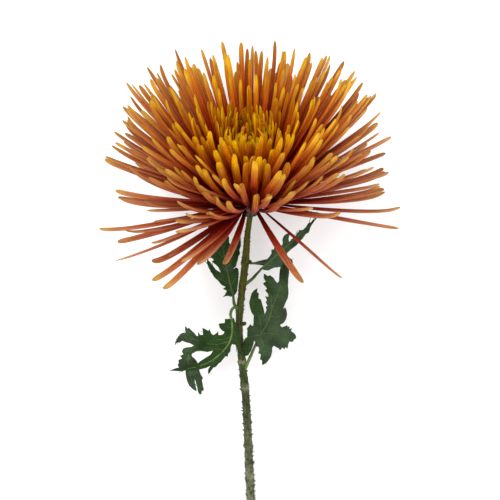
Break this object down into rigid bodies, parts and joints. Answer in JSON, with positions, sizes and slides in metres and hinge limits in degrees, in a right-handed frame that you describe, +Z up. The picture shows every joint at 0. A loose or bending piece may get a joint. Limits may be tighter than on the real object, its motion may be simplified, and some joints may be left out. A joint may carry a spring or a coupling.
{
  "type": "cut chrysanthemum flower",
  "caption": "Cut spider chrysanthemum: a wide head of long, narrow, upswept quilled rays on a thin leafy stem, lying on its side.",
  "frame": {"origin": "middle of the bounding box's footprint, on the table it lies on", "axes": "+Y along the stem towards the head, +X to the right seen from above with the head away, +Z up from the table"},
  "size_m": [0.1504, 0.2536, 0.1337],
  "materials": {
    "petal": "soft satin, copper orange with golden tips",
    "bract": "matt green, paler edges",
    "stem": "matt ribbed green, finely hairy",
    "leaf": "matt green with raised veins"
  },
  "bodies": {
    "root": {"bloom": "petal", "involucre": "bract", "stem": "stem", "leaf_lower_right": "leaf", "leaf_lower_left": "leaf", "leaf_upper_left": "leaf", "leaf_upper_right": "leaf", "leaf_small_right": "leaf"}
  },
  "joints": []
}
